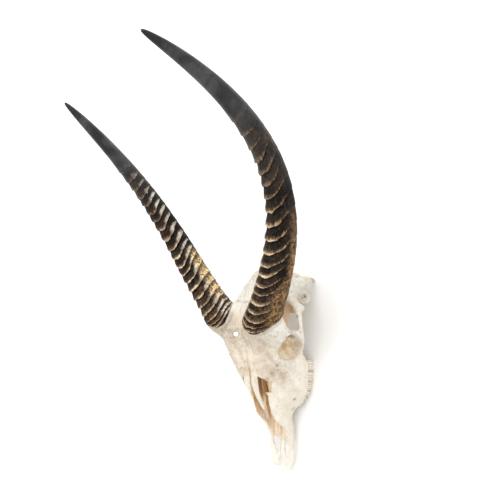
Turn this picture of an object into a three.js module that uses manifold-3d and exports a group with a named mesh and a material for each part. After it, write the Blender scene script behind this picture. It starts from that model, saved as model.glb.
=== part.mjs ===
// Skull of a waterbuck bull with its ringed horns, at rest on its cheek teeth and jugular processes.
// Millimetres. X runs to the animal's left, Y backwards from the tip of the muzzle and Z upwards from
// the gum line of the upper teeth. At the end the whole model is moved so that its origin is the
// middle of its base.
import * as THREE from "three";
import { mergeVertices } from "three/addons/utils/BufferGeometryUtils.js";
import Module from "manifold-3d";

const wasm = await Module();
wasm.setup();

// Driving dimensions of the skull
const BITE_Z = -14; // the plane of the worn tooth faces, on which the skull rests
const RING_STEPS = 2; // skin points between two bone lines
const STATION_STEPS = 2; // skin rings between two stations
const NASAL_TIP_Y = 113;
const SHORT_NASAL_Y = 141; // the right nasal bone is broken short
const ORBIT_CENTRE = [80, 227, 84];
const ORBIT_RADII = [38, 23.5, 25.5];
// The opening in the brow in front of each horn: the right one, seen on the left side, and how much
// further back the left one lies
const FORAMEN_RADIUS = 5.5;
const FORAMEN_TOP = [8, 242, 148];
const FORAMEN_BOTTOM = [96, 238.2, 60.5];
const FORAMEN_STAGGER = 6;
const RIM_SIDES = 5;
const FIT_GAP = 0.4;

// Driving dimensions of the horns
const HORN_BASE = [54.8, 275.1, 146.9];
const HORN_REACH = 537;
const HORN_BEND = [
  [0.419, 0.578, 0.262],
  [0.013, 0.247, -0.082],
  [-0.309, -0.236, 0.434],
];
const HORN_RADIUS = 30.3;
const HORN_TAPER = 0.464;
const HORN_LENGTH = 509;
const HORN_FRONT = [0, -0.46, 0.89]; // the ridged side faces forwards and up
const HORN_SIDES = 12;
const RIM_ARC = -22; // where the sheath starts on its front, measured along the horn
const RIM_SKEW = 38; // how much further along it starts at its back
const RIM_TWIST = 0.18; // and how much further on its outer side than on its inner side
const SOCKET_DEPTH = 34;
const SHEATH_WALL = 7;
const PEDICLE_FOOT = [40, 250, 112];
const PEDICLE_SPREAD = [36, 21]; // how far the pedicle's foot reaches along and across the brow
const RIDGE_HEIGHT = 2.6;
const RIDGED_LENGTH = 395;
const RIDGE_SKEW = 29; // the same for a ridge well away from the rim
const SKEWED_RIDGES = 8; // the ridges over which the lean settles

// Bone stations from the muzzle to the back of the head. Each row holds the distance from the tip,
// the height of the roof, then side and height of the shoulder, the cheek, the side and the lower
// edge, and the height of the floor.
const STATIONS = [
  [52, 14, 15, 13, 24, 10, 26, 4, 21, -1, 1],
  [78, 42, 14, 40, 23, 31, 27, 10, 20, -1, 3],
  [104, 80, 13, 79, 24, 63, 29, 26, 21, 0, 5],
  [122, 90, 14, 87, 29, 70, 41, 30, 37, -1, 7],
  [146, 102, 17, 97, 36, 75, 57, 32, 53, -1, 9],
  [172, 112, 22, 106, 47, 83, 65, 42, 56, -1, 12],
  [198, 121, 28, 116, 57, 95, 68, 52, 54, 1, 15],
  [214, 126, 32, 124, 62, 104, 67, 60, 44, 14, 22],
  [232, 133, 36, 134, 66, 111, 65, 66, 34, 30, 30],
  [250, 141, 38, 143, 58, 116, 48, 80, 33, 38, 34],
  [268, 148, 34, 146, 46, 118, 36, 76, 29, 40, 34],
  [290, 149, 27, 143, 43, 116, 41, 80, 33, 40, 29],
  [315, 140, 20, 132, 42, 103, 48, 76, 42, 36, 28],
  [338, 127, 18, 119, 42, 90, 54, 62, 48, 26, 22],
  [354, 117, 15, 106, 38, 80, 50, 54, 40, 30, 26],
];

// The right brow and cheek stand out a little further than the left ones: how far, where along the
// skull, over what length, and the share of it that each bone line takes.
const SWELL = 8;
const SWELL_MIDDLE = 186;
const SWELL_LENGTH = 42;
const SWELL_SHARES = [0.5, 1, 0.3, 0];

// The worn upper edge of the right wall of the muzzle, as distance from the tip and height
const WORN_EDGE = [
  [20, 12],
  [37, 12],
  [54, 22],
  [74, 38],
  [98, 56],
  [120, 68],
  [143, 80],
  [150, 200],
  [20, 200],
];
const WORN_INSIDE_X = 17; // the right nasal bone lies inside the worn wall

// The nasal cavity: distance from the tip, height of the roof, half width at the roof, half width at
// the floor, and height of the floor.
const CAVITY = [
  [36, 150, 18, 18, 9],
  [80, 150, 20, 20, 9],
  [112, 150, 21, 22, 12],
  [140, 150, 20, 26, 15],
  [141, 92, 20, 27, 15],
  [170, 96, 20, 26, 20],
  [196, 92, 14, 16, 32],
];

// The opening beside the nasal bones, in plan on the left side.
const FISSURE = [
  [0, 100],
  [20, 100],
  [20, 142],
  [30, 144],
  [32, 163],
  [25, 165],
  [13, 175],
  [0, 160],
];

// Upper cheek teeth, from the front: name, middle of the crown across and along, crown length,
// crown width and number of lobes.
const TEETH = [
  ["premolar_2", 35, 122.5, 9, 9, 1],
  ["premolar_3", 39, 132, 9.4, 11, 1],
  ["premolar_4", 43, 142.3, 10.4, 12.5, 1],
  ["molar_1", 46, 155.8, 15.6, 14, 2],
  ["molar_2", 47.5, 173.2, 18.2, 15, 2],
  ["molar_3", 46.5, 193, 20.4, 14.5, 2],
];
const ROOT_TOP_Z = 9;

const vector = (p) => new THREE.Vector3(...p);

// Turns a closed geometry into a solid, whichever way its faces were wound.
function solid(geometry) {
  geometry.deleteAttribute("normal");
  geometry.deleteAttribute("uv");
  const merged = mergeVertices(geometry, 1e-4);
  const vertProperties = new Float32Array(merged.attributes.position.array);
  const triVerts = new Uint32Array(merged.index.array);
  const made = new wasm.Manifold(new wasm.Mesh({ numProp: 3, vertProperties, triVerts }));
  if (made.volume() > 0) return made;
  triVerts.reverse();
  return new wasm.Manifold(new wasm.Mesh({ numProp: 3, vertProperties, triVerts }));
}

function geometryOf(made) {
  const mesh = made.getMesh();
  const geometry = new THREE.BufferGeometry();
  geometry.setAttribute("position", new THREE.BufferAttribute(mesh.vertProperties, 3));
  geometry.setIndex(new THREE.BufferAttribute(mesh.triVerts, 1));
  geometry.computeVertexNormals();
  return geometry;
}

// A closed skin over rings with the same number of points, with a fan over each end.
function skin(rings) {
  const count = rings[0].length;
  const points = rings.flat();
  const index = [];
  for (let i = 0; i + 1 < rings.length; i++) {
    for (let j = 0; j < count; j++) {
      const a = i * count + j;
      const b = i * count + ((j + 1) % count);
      index.push(a, b, a + count, b, b + count, a + count);
    }
  }
  for (const end of [0, rings.length - 1]) {
    const middle = points.length;
    const centre = new THREE.Vector3();
    rings[end].forEach((p) => centre.addScaledVector(p, 1 / count));
    points.push(centre);
    for (let j = 0; j < count; j++) {
      const a = end * count + j;
      const b = end * count + ((j + 1) % count);
      if (end) index.push(a, b, middle);
      else index.push(b, a, middle);
    }
  }
  const geometry = new THREE.BufferGeometry().setFromPoints(points);
  geometry.setIndex(index);
  return solid(geometry);
}

// A bar along a smooth path. Each knot is [x, y, z, half width across, half height], and the height
// is measured towards the given upright.
function bar(knots, { sides = 6, upright = [0, 0, 1] } = {}) {
  const path = new THREE.CatmullRomCurve3(knots.map((k) => new THREE.Vector3(k[0], k[1], k[2])));
  const size = new THREE.CatmullRomCurve3(knots.map((k) => new THREE.Vector3(k[3], k[4], 0)));
  const count = knots.length - 1;
  const rings = [];
  for (let i = 0; i <= count; i++) {
    const along = path.getTangent(i / count);
    const across = new THREE.Vector3().crossVectors(along, vector(upright)).normalize();
    const up = new THREE.Vector3().crossVectors(across, along);
    const centre = path.getPoint(i / count);
    const radius = size.getPoint(i / count);
    rings.push(
      Array.from({ length: sides }, (_, j) => {
        const turn = ((j + 0.5) / sides) * 2 * Math.PI;
        return centre
          .clone()
          .addScaledVector(across, radius.x * Math.cos(turn))
          .addScaledVector(up, radius.y * Math.sin(turn));
      }),
    );
  }
  return skin(rings);
}

function ball([x, y, z], [rx, ry, rz], around = 8, down = 5) {
  const geometry = new THREE.SphereGeometry(1, around, down).scale(rx, ry, rz).translate(x, y, z);
  return solid(geometry);
}

// A straight round hole or peg between two points.
function rod(from, to, radius, sides = 8) {
  const start = vector(from);
  const along = vector(to).sub(start);
  const geometry = new THREE.CylinderGeometry(radius, radius, along.length(), sides);
  geometry.translate(0, along.length() / 2, 0);
  const turn = new THREE.Quaternion().setFromUnitVectors(new THREE.Vector3(0, 1, 0), along.normalize());
  return solid(geometry.applyQuaternion(turn).translate(start.x, start.y, start.z));
}

const mirrored = (made) => made.mirror([1, 0, 0]);
const join = (solids) => solids.reduce((a, b) => a.add(b));
const bothSides = (made) => made.add(mirrored(made));

// The head's skin over its stations
function headBody() {
  const lines = [1, 2, 4, 6, 8, 10].map((column) => {
    const knots = STATIONS.map((row) =>
      column === 1 || column === 10
        ? new THREE.Vector3(0, row[0], row[column])
        : new THREE.Vector3(row[column], row[0], row[column + 1]),
    );
    return new THREE.CatmullRomCurve3(knots);
  });
  const count = (STATIONS.length - 1) * STATION_STEPS;
  const rings = [];
  for (let i = 0; i <= count; i++) {
    const left = lines.map((line) => line.getPoint(i / count));
    const right = left
      .slice(1, -1)
      .map((p, k) => {
        const away = (p.y - SWELL_MIDDLE) / SWELL_LENGTH;
        const out = SWELL * SWELL_SHARES[k] * Math.exp(-(away ** 2));
        return new THREE.Vector3(-p.x - 0.7 * out, p.y, p.z + 0.7 * out);
      })
      .reverse();
    const outline = new THREE.CatmullRomCurve3([...left, ...right], true);
    const points = 10 * RING_STEPS;
    rings.push(Array.from({ length: points }, (_, j) => outline.getPoint(j / points)));
  }
  return skin(rings);
}

function nasalCavity() {
  const rings = CAVITY.map(([y, roof, top, wide, floor]) => {
    const half = [
      [0, roof],
      [top * 0.8, roof],
      [top, roof - 5],
      [wide, roof > 100 ? 62 : roof - 22],
      [wide, floor + 10],
      [wide * 0.7, floor],
      [0, floor],
    ];
    const other = half.slice(1, -1).reverse().map(([x, z]) => [-x, z]);
    return [...half, ...other].map(([x, z]) => new THREE.Vector3(x, y, z));
  });
  return skin(rings);
}

// What the right wall of the muzzle has lost along its upper edge
function wornWall() {
  const shape = new THREE.Shape(WORN_EDGE.map(([y, z]) => new THREE.Vector2(y, z)));
  const side = block(shape, WORN_INSIDE_X, 70);
  return side.transform([0, 1, 0, 0, 0, 0, 1, 0, 1, 0, 0, 0, 0, 0, 0, 1]).mirror([1, 0, 0]);
}

// A flat outline in plan, cut down through the roof into the cavity
function fissure() {
  const shape = new THREE.Shape(FISSURE.map(([x, y]) => new THREE.Vector2(x, y)));
  return bothSides(block(shape, 60, 152));
}

function nasalBone(tipY) {
  const drop = (y) => 110 - 0.0085 * (178 - y) ** 2;
  return bar(
    [196, 178, 160, (160 + tipY) / 2, tipY + 3, tipY].map((y, i) => [
      6.8 - 0.012 * (196 - y),
      y,
      drop(Math.min(y, 178)),
      [5.8, 5.8, 5.7, 5.2, 4.2, 1.6][i],
      [3, 3, 2.6, 2.4, 2.2, 1][i],
    ]),
    { sides: 6 },
  );
}

// The bones that end the muzzle: a bar along the front of each cheek and a plate at the tip
function premaxilla() {
  const side = bar(
    [
      [25, 98, 52, 2.2, 4],
      [26, 78, 26, 2.6, 5],
      [26, 58, 10, 3.4, 5.5],
      [24, 38, 5, 5, 4.4],
      [19, 18, 3.4, 8, 3.4],
      [13, 5, 3, 8.5, 2.8],
      [10, 0.5, 3, 4, 1.4],
    ],
    { sides: 6 },
  );
  const inner = bar([
    [5, 74, 6, 3, 3],
    [5, 40, 4.5, 2.6, 2.4],
    [7, 16, 3.6, 3, 2.4],
  ]);
  return side.add(inner);
}

function orbitRim() {
  const corners = [
    [60, 222, 113.5],
    [63.5, 240, 109.5],
    [68, 250.5, 96],
    [71, 250, 76],
    [70.5, 240, 63],
    [69, 228, 59],
    [65, 213, 62],
    [60.5, 203.5, 76],
    [58.5, 203.5, 93],
    [58, 210, 106],
  ];
  const loop = new THREE.CatmullRomCurve3(corners.map(vector), true);
  const steps = 15;
  const middle = vector([64, 227, 87]);
  const rings = Array.from({ length: steps }, (_, i) => {
    const centre = loop.getPoint(i / steps);
    const along = loop.getTangent(i / steps);
    const outward = centre.clone().sub(middle).normalize();
    const across = new THREE.Vector3().crossVectors(along, outward).normalize();
    return Array.from({ length: RIM_SIDES }, (_, j) => {
      const turn = (j / RIM_SIDES) * 2 * Math.PI;
      return centre
        .clone()
        .addScaledVector(outward, 4.2 * Math.cos(turn) + 1.5)
        .addScaledVector(across, 5.5 * Math.sin(turn));
    });
  });
  const index = [];
  rings.forEach((ring, i) =>
    ring.forEach((_, j) => {
      const next = (i + 1) % steps;
      const k = (j + 1) % RIM_SIDES;
      const a = i * RIM_SIDES;
      const b = next * RIM_SIDES;
      index.push(a + j, a + k, b + j, a + k, b + k, b + j);
    }),
  );
  const geometry = new THREE.BufferGeometry().setFromPoints(rings.flat());
  geometry.setIndex(index);
  return solid(geometry);
}

function zygomaticArch() {
  return bar([
    [57.5, 190, 45.5, 4, 8],
    [64.5, 210, 53.5, 4, 7],
    [68.5, 230, 56.5, 3.6, 6],
    [70.5, 250, 58.5, 3.2, 6],
    [70.5, 272, 61.5, 3, 6],
    [68.5, 292, 66.5, 3.6, 8],
    [59.5, 308, 67.5, 7, 9],
    [43.5, 316, 63.5, 8, 9],
  ]);
}

function postorbitalBar() {
  return bar(
    [
      [54, 246, 120, 6, 5],
      [64, 250, 107, 5, 4],
      [69.5, 252.5, 90, 4.4, 3.4],
      [71.5, 252.5, 72, 5, 3.4],
      [70, 250, 57, 7, 3.6],
    ],
    { upright: [-1, 0, 2.2] },
  );
}

function earRegion() {
  const bulla = ball([41, 325, 12], [13, 17, 19]);
  const meatus = bar(
    [
      [38, 318, 32, 8, 8],
      [50, 319, 36, 7.5, 7.5],
      [61, 320, 39, 6, 6],
    ],
  );
  const jaw = ball([52, 299, 52], [18, 11, 8]);
  return bulla.add(meatus).add(jaw);
}

function jugularProcess() {
  return bar(
    [
      [44, 342, 58, 13, 13],
      [46, 348, 34, 13, 14],
      [47, 355, 14, 9, 10],
      [46, 360, -2, 5.4, 4.6],
      [45, 361, BITE_Z - 4, 4.2, 3.8],
    ],
    { upright: [0, 1, 0] },
  );
}

function occiput() {
  const condyle = ball([21, 361, 20], [12, 12, 17]);
  const crest = bar(
    [
      [0, 357, 114, 5, 5],
      [15, 357, 101, 5, 5],
      [33, 355, 84, 5, 5],
      [48, 351, 66, 5, 5],
      [56, 342, 46, 5, 6],
    ],
  );
  const knob = ball([0, 357, 98], [7, 8, 14]);
  const base = ball([0, 345, 24], [30, 20, 13]);
  return bothSides(condyle.add(crest)).add(knob).add(base);
}

// The ridge that runs back from each brow over the side of the braincase
function templeRidge() {
  return bar(
    [
      [54, 258, 112, 3, 3],
      [47, 285, 98, 3, 3],
      [47, 312, 88, 3, 3],
      [50, 340, 76, 4, 4],
    ],
    { sides: 4 },
  );
}

function pterygoid() {
  return bar(
    [
      [20, 204, 10, 2.2, 8],
      [18, 222, 17, 2.2, 11],
      [17, 244, 25, 2.2, 10],
      [16, 262, 32, 2.5, 6],
    ],
  );
}

// Place, direction and half width of the left horn at a distance along it from its base
function hornAt(arc) {
  const s = arc / HORN_LENGTH;
  const at = vector(HORN_BASE);
  const along = new THREE.Vector3();
  HORN_BEND.forEach((bend, k) => {
    at.addScaledVector(vector(bend), HORN_REACH * s ** (k + 1));
    along.addScaledVector(vector(bend), (k + 1) * s ** k);
  });
  along.normalize();
  const front = vector(HORN_FRONT);
  front.addScaledVector(along, -front.dot(along)).normalize();
  const side = new THREE.Vector3().crossVectors(along, front);
  const flare = 1 + 0.07 * Math.max(0, 1 - arc / 40);
  const radius = HORN_RADIUS * Math.max(0, 1 - Math.max(s, 0)) ** HORN_TAPER * flare;
  return { at, front, side, radius };
}

// One ring of horn points, tilted so that its back lies further along than its front
function hornRing(arc, skew, grow) {
  return Array.from({ length: HORN_SIDES }, (_, j) => {
    const turn = (j / HORN_SIDES) * 2 * Math.PI;
    const lean = skew * (0.5 - 0.5 * Math.cos(turn) + RIM_TWIST * Math.sin(turn));
    const { at, front, side, radius } = hornAt(Math.min(arc + lean, HORN_LENGTH - 1));
    const width = Math.max(0.6, radius + grow(turn));
    return at.addScaledVector(front, width * Math.cos(turn)).addScaledVector(side, width * Math.sin(turn));
  });
}

function ridgeArcs() {
  const arcs = [];
  let pitch = 6;
  for (let arc = RIM_ARC + 7; arc < RIDGED_LENGTH; arc += pitch) {
    arcs.push(arc);
    if (arcs.length > 2) pitch = Math.min(24, 17 + 0.6 * arcs.length);
  }
  return arcs;
}

// Each ridge is a lip that faces the base: a notch, a crest, then a slow fall towards the next one
function hornSheath(core) {
  const smooth = () => 0;
  const rings = [hornRing(RIM_ARC, RIM_SKEW, smooth)];
  const arcs = ridgeArcs();
  arcs.forEach((arc, k) => {
    const fade = 1 - 0.75 * (k / arcs.length) ** 2;
    const raise = (share) => (turn) =>
      share * fade * RIDGE_HEIGHT * (0.62 + 0.38 * Math.cos(turn));
    const skew = RIM_SKEW + (RIDGE_SKEW - RIM_SKEW) * Math.min(1, k / SKEWED_RIDGES);
    const pitch = arc - (arcs[k - 1] ?? RIM_ARC);
    rings.push(hornRing(arc - 0.16 * pitch, skew, raise(-0.25)));
    rings.push(hornRing(arc, skew, raise(1)));
  });
  const last = arcs.at(-1) + 18;
  const steps = 5;
  for (let i = 0; i <= steps; i++) {
    const arc = last + (HORN_LENGTH - 2 - last) * (1 - (1 - i / steps) ** 1.5);
    rings.push(hornRing(arc, RIDGE_SKEW * (1 - i / steps), smooth));
  }
  return skin(rings).subtract(core);
}

// A plain stretch of the horn's form, used for the bony core and for the room around the sheath. Its
// ends lie parallel to the rim of the sheath.
function hornStretch(from, to, grow, steps = 3) {
  const skew = RIM_SKEW * (1 + grow / HORN_RADIUS);
  const shift = (skew - RIM_SKEW) / 2;
  const rings = [];
  for (let i = 0; i <= steps; i++) {
    rings.push(hornRing(from - shift + ((to - from) * i) / steps, skew, () => grow));
  }
  return skin(rings);
}

// The bony base of a horn, which spreads out over the brow
function pedicle() {
  const top = hornRing(RIM_ARC + 1, RIM_SKEW, () => 0.4);
  const neck = hornRing(RIM_ARC - 5, RIM_SKEW, () => -0.6);
  const foot = neck.map((_, j) => {
    const turn = (j / HORN_SIDES) * 2 * Math.PI;
    const [x, y, z] = PEDICLE_FOOT;
    const forward = PEDICLE_SPREAD[0] * Math.cos(turn);
    const sideways = PEDICLE_SPREAD[1] * Math.sin(turn);
    return new THREE.Vector3(x + sideways, y - forward, z - 0.35 * sideways);
  });
  const slope = neck.map((p, j) => p.clone().lerp(foot[j], 0.45).lerp(vector(PEDICLE_FOOT), 0.06));
  return skin([foot, slope, neck, top]);
}

// A tooth crown with rounded lobes inside and upright styles on its cheek side
function tooth(length, width, lobes) {
  const shape = new THREE.Shape();
  const half = width / 2;
  const pitch = length / lobes;
  shape.moveTo(half, -length / 2);
  for (let i = 0; i < lobes; i++) {
    const start = -length / 2 + i * pitch;
    shape.lineTo(half - 1.1, start + pitch * 0.28);
    shape.lineTo(half - 0.4, start + pitch * 0.5);
    shape.lineTo(half - 1.1, start + pitch * 0.72);
    shape.lineTo(half, start + pitch);
  }
  for (let i = lobes - 1; i >= 0; i--) {
    const start = -length / 2 + i * pitch;
    shape.lineTo(-half + 2.5, start + pitch * 0.96);
    shape.lineTo(-half, start + pitch * 0.65);
    shape.lineTo(-half, start + pitch * 0.35);
    shape.lineTo(-half + 2.5, start + pitch * 0.04);
  }
  return shape;
}

// A flat outline raised from one height to another
function block(shape, from, to) {
  const geometry = new THREE.ExtrudeGeometry(shape, { depth: to - from, bevelEnabled: false });
  return solid(geometry.translate(0, 0, from));
}

const teeth = TEETH.map(([name, x, y, length, width, lobes]) => {
  const shape = tooth(length, width, lobes);
  return { name, body: block(shape, BITE_Z, ROOT_TOP_Z).translate([x, y, 0]) };
});

// The trough in the jaw that holds the roots of one row of teeth
function rootTrough() {
  const side = (sign) =>
    TEETH.flatMap(([, x, y, length, width]) =>
      [-1, 1].map((end) => [
        x + sign * (width / 2 + FIT_GAP),
        y + end * (length / 2 + FIT_GAP),
      ]),
    );
  const outline = [...side(1), ...side(-1).reverse()];
  const shape = new THREE.Shape(outline.map(([x, y]) => new THREE.Vector2(x, y)));
  return block(shape, BITE_Z, ROOT_TOP_Z + FIT_GAP);
}

function buildSkull() {
  const bones = join([
    headBody(),
    ...[orbitRim(), zygomaticArch(), postorbitalBar(), earRegion(), jugularProcess()].map(bothSides),
    ...[templeRidge(), pterygoid(), pedicle()].map(bothSides),
    occiput(),
  ]);
  const foramen = rod(FORAMEN_TOP, FORAMEN_BOTTOM, FORAMEN_RADIUS);
  const holes = join([
    nasalCavity(),
    fissure(),
    bothSides(ball(ORBIT_CENTRE, ORBIT_RADII, 14, 8)),
    mirrored(foramen),
    foramen.translate([0, FORAMEN_STAGGER, 0]),
    bothSides(rod([66, 321, 41], [44, 318, 37], 2.6, 6)),
    rod([0, 385, 40], [0, 326, 46], 11, 10),
    ball([0, 216, 24], [12, 30, 16]),
  ]);
  const face = join([bothSides(premaxilla()), nasalBone(NASAL_TIP_Y), mirrored(nasalBone(SHORT_NASAL_Y))]);
  const room = hornStretch(RIM_ARC - 3 * FIT_GAP, 78, 3.6, 2);
  const core = hornStretch(RIM_ARC - 3, RIM_ARC + SOCKET_DEPTH, -SHEATH_WALL - FIT_GAP);
  const floor = new THREE.BoxGeometry(400, 800, 60).translate(0, 200, BITE_Z - 30);
  return bones
    .subtract(holes)
    .subtract(wornWall())
    .add(face)
    .subtract(bothSides(room))
    .add(bothSides(core))
    .subtract(bothSides(rootTrough()))
    .subtract(solid(floor));
}

const BONE = { color: 0xf1eade, roughness: 0.62, metalness: 0 };
const ENAMEL = { color: 0xe9dfc8, roughness: 0.35, metalness: 0 };
const KERATIN = { color: 0x3a332c, roughness: 0.45, metalness: 0 };

const model = new THREE.Group();
function addPiece(name, made, finish) {
  const mesh = new THREE.Mesh(geometryOf(made), new THREE.MeshStandardMaterial(finish));
  mesh.name = name;
  model.add(mesh);
}

const hornCore = hornStretch(RIM_ARC - 12, RIM_ARC + SOCKET_DEPTH + FIT_GAP, -SHEATH_WALL);
const horn = hornSheath(hornCore);
addPiece("skull", buildSkull(), BONE);
addPiece("horn_left", horn, KERATIN);
addPiece("horn_right", mirrored(horn), KERATIN);
for (const { name, body } of teeth) {
  addPiece(name + "_left", body, ENAMEL);
  addPiece(name + "_right", mirrored(body), ENAMEL);
}

const box = new THREE.Box3().setFromObject(model);
const centre = box.getCenter(new THREE.Vector3());
model.position.set(-centre.x, -centre.y, -box.min.z);

const root = new THREE.Group();
root.add(model);
export default root;
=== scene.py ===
"""Looks of a waterbuck bull's skull with its ringed horns.

Shapes are worked out in millimetres in the animal's own axes: X to its left, Y backwards from the tip
of the muzzle, Z upwards from the gum line. place() turns them into metres in the frame of the part.
"""

import bpy
import numpy as np
from mathutils import Matrix, Vector


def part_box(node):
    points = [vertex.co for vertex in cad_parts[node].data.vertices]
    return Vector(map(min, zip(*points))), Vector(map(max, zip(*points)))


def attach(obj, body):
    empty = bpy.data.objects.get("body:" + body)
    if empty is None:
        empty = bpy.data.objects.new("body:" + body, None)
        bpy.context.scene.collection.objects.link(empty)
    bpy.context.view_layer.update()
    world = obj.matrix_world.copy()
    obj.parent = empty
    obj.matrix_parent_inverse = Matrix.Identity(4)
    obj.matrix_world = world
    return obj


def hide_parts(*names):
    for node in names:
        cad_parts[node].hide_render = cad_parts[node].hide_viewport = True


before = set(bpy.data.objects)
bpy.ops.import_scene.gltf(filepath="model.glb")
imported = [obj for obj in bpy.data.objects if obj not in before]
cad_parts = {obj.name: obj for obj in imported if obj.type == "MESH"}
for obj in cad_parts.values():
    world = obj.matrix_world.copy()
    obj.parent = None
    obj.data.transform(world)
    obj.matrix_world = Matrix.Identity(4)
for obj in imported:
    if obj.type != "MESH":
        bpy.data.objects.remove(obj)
scene = bpy.context.scene
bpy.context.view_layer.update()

MM = 0.001
BITE_Z = -14.0  # the plane of the worn tooth faces, on which the skull stands
MUZZLE_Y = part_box("skull")[0].y / MM  # where the tip of the muzzle lies in the frame
STEP = 1.8  # spacing of the grid on which the bone is modelled
# How far the grid goes to each side, forwards, backwards, upwards and below the bite plane
GRID_SIDE = 95
GRID_FRONT = -8
GRID_BACK = 386
GRID_TOP = 184
GRID_BELOW = 6

# The head's bones at stations from the muzzle to the back. Each row holds the distance from the tip,
# the height of the roof, then side and height of the shoulder, the cheek, the side and the lower
# edge, and the height of the floor.
STATIONS = np.array([
    [52, 14, 15, 13, 24, 10, 26, 4, 21, -1, 1],
    [78, 42, 14, 40, 23, 31, 27, 10, 20, -1, 3],
    [92, 69, 14, 68, 23, 55, 28, 22, 16, -1, 4],
    [104, 82, 13, 81, 24, 66, 30, 26, 21, 0, 5],
    [122, 90, 14, 87, 29, 70, 41, 30, 37, -1, 7],
    [146, 102, 17, 97, 36, 75, 57, 32, 52, 4, 9],
    [172, 112, 22, 106, 47, 83, 65, 42, 54, 8, 12],
    [198, 121, 28, 116, 57, 95, 68, 52, 52, 9, 15],
    [214, 126, 32, 124, 62, 104, 67, 60, 44, 14, 22],
    [232, 133, 36, 134, 66, 111, 65, 66, 34, 30, 30],
    [250, 141, 38, 143, 58, 116, 48, 80, 33, 38, 34],
    [268, 148, 34, 146, 46, 118, 36, 76, 29, 40, 34],
    [290, 149, 27, 143, 43, 116, 41, 80, 33, 40, 29],
    [315, 140, 20, 132, 42, 103, 48, 76, 42, 36, 28],
    [338, 127, 18, 119, 42, 90, 54, 62, 48, 26, 22],
    [354, 117, 15, 106, 38, 80, 50, 54, 40, 30, 26],
], float)

# The right brow and cheek stand out a little further than the left ones
SWELL = 7.7
SWELL_MIDDLE = 186.0
SWELL_LENGTH = 42.0
SWELL_SHARES = [0.5, 1.0, 0.3, 0.0]

# The nasal cavity: distance from the tip, roof, half width at roof and floor, height of the floor
CAVITY = np.array([
    [36, 150, 18, 18, 9],
    [80, 150, 19, 20, 9],
    [108, 150, 17, 22, 12],
    [140, 150, 16.5, 26, 15],
    [142, 92, 20, 27, 15],
    [170, 96, 20, 26, 20],
    [196, 92, 14, 16, 32],
], float)

# The opening beside the nasal bones, in plan on the left side
FISSURE = [(0, 100), (20, 100), (20, 142), (30, 144), (33, 162), (26, 165), (14, 172), (0, 160)]
FISSURE_LOW_Z = 60
# The worn upper edge of the right wall of the muzzle, as distance from the tip and height
WORN_EDGE = [
    (20, 12), (37, 12), (54, 22), (74, 37), (90, 53), (99, 61), (120, 70), (143, 80), (150, 200), (20, 200),
]
WORN_INSIDE_X = 17.0

# The nasal bones: their roots, the highest place of their top line and how it falls off in front of it,
# the tips of the left and right bone, and where the slit between them ends
NASAL_ROOT_Y = 196
NASAL_PEAK_Y = 178
NASAL_PEAK_Z = 110
NASAL_FALL = 0.0085
NASAL_TIP_Y = 113
SHORT_NASAL_Y = 141
SLIT_END_Y = 188

ORBIT_CENTRE = (80, 226, 87)
ORBIT_RADII = (39, 24, 29)
FORAMEN_RADIUS = 5.5
FORAMEN_TOP = (8, 242, 148)
FORAMEN_BOTTOM = (96, 238.2, 60.5)
FORAMEN_STAGGER = 6.0

# The horns' centre line and width
HORN_BASE = np.array([54.8, 275.1, 146.9])
HORN_REACH = 537.0
HORN_BEND = np.array([[0.419, 0.578, 0.262], [0.013, 0.247, -0.082], [-0.309, -0.236, 0.434]])
HORN_RADIUS = 30.3
HORN_TAPER = 0.464
HORN_LENGTH = 509.0
HORN_FRONT = np.array([0, -0.46, 0.89])
RIDGE_HEIGHT = 3.7
# Where each ridge crosses the front of its horn, in millimetres along it
LEFT_RIDGES = [-24, -15, -1, 19, 39, 61, 81, 104, 124, 152, 179, 207, 235, 260, 283, 304, 325, 347, 370, 392]
RIGHT_RIDGES = [
    -24, -16, -4, 13, 32, 54, 78, 98, 120, 140, 164, 188, 216, 244, 268, 289, 311, 330, 351, 372, 394,
]
# The lower rim of each sheath: turn from the front towards the outer side, and distance along the horn
LEFT_RIM = [
    (-180, 14), (-120, 4), (-80, -12), (-40, -20), (-15, -24.5), (5, -25), (21, -19), (40, -5), (51, 7),
    (62, 15), (90, 19), (130, 19),
]
RIGHT_RIM = [
    (-180, 14), (-110, 1), (-80, -14), (-60, -25), (-40, -30), (-25, -30), (0, -17), (30, 0), (60, 13),
    (90, 18), (130, 19),
]
RIM_MIDDLE = -3.0
# How far the ridges climb from the front round to the back: a share at each turn, and the length in
# millimetres that it is a share of at each distance along the horn
LEFT_CLIMB = [
    (-180, 1.6), (-120, 1.1), (-90, 0.65), (-60, 0.2), (-40, 0), (-20, 0.05), (0, 0.16), (15, 0.36),
    (30, 0.62), (45, 0.95), (60, 1.3), (75, 1.5), (90, 1.65), (120, 1.7),
]
LEFT_CLIMB_LENGTH = [
    (100, 30), (160, 22), (210, 22), (250, 20), (290, 18), (330, 14), (350, 10), (372, 4), (420, 0),
]
RIGHT_CLIMB = [
    (-180, 1.5), (-120, 1.3), (-90, 1), (-75, 0.75), (-60, 0.5), (-45, 0.22), (-30, 0.03), (-15, 0),
    (0, 0.03), (15, 0.2), (30, 0.43), (45, 0.73), (60, 1), (90, 1.35), (120, 1.45),
]
RIGHT_CLIMB_LENGTH = [
    (80, 18), (105, 30), (130, 32), (165, 25), (200, 23), (250, 22), (275, 18), (300, 14), (335, 9),
    (372, 4), (420, 0),
]
# How high the ridges stand at each turn, and how far the list is turned higher up the horn
STANDING = [
    (-180, 0.12), (-140, 0.3), (-105, 0.75), (-60, 1), (0, 1), (35, 0.95), (65, 0.5), (90, 0.16), (150, 0.1),
]
STANDING_TURN = np.radians(18)
HORN_SIDES = 144

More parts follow.
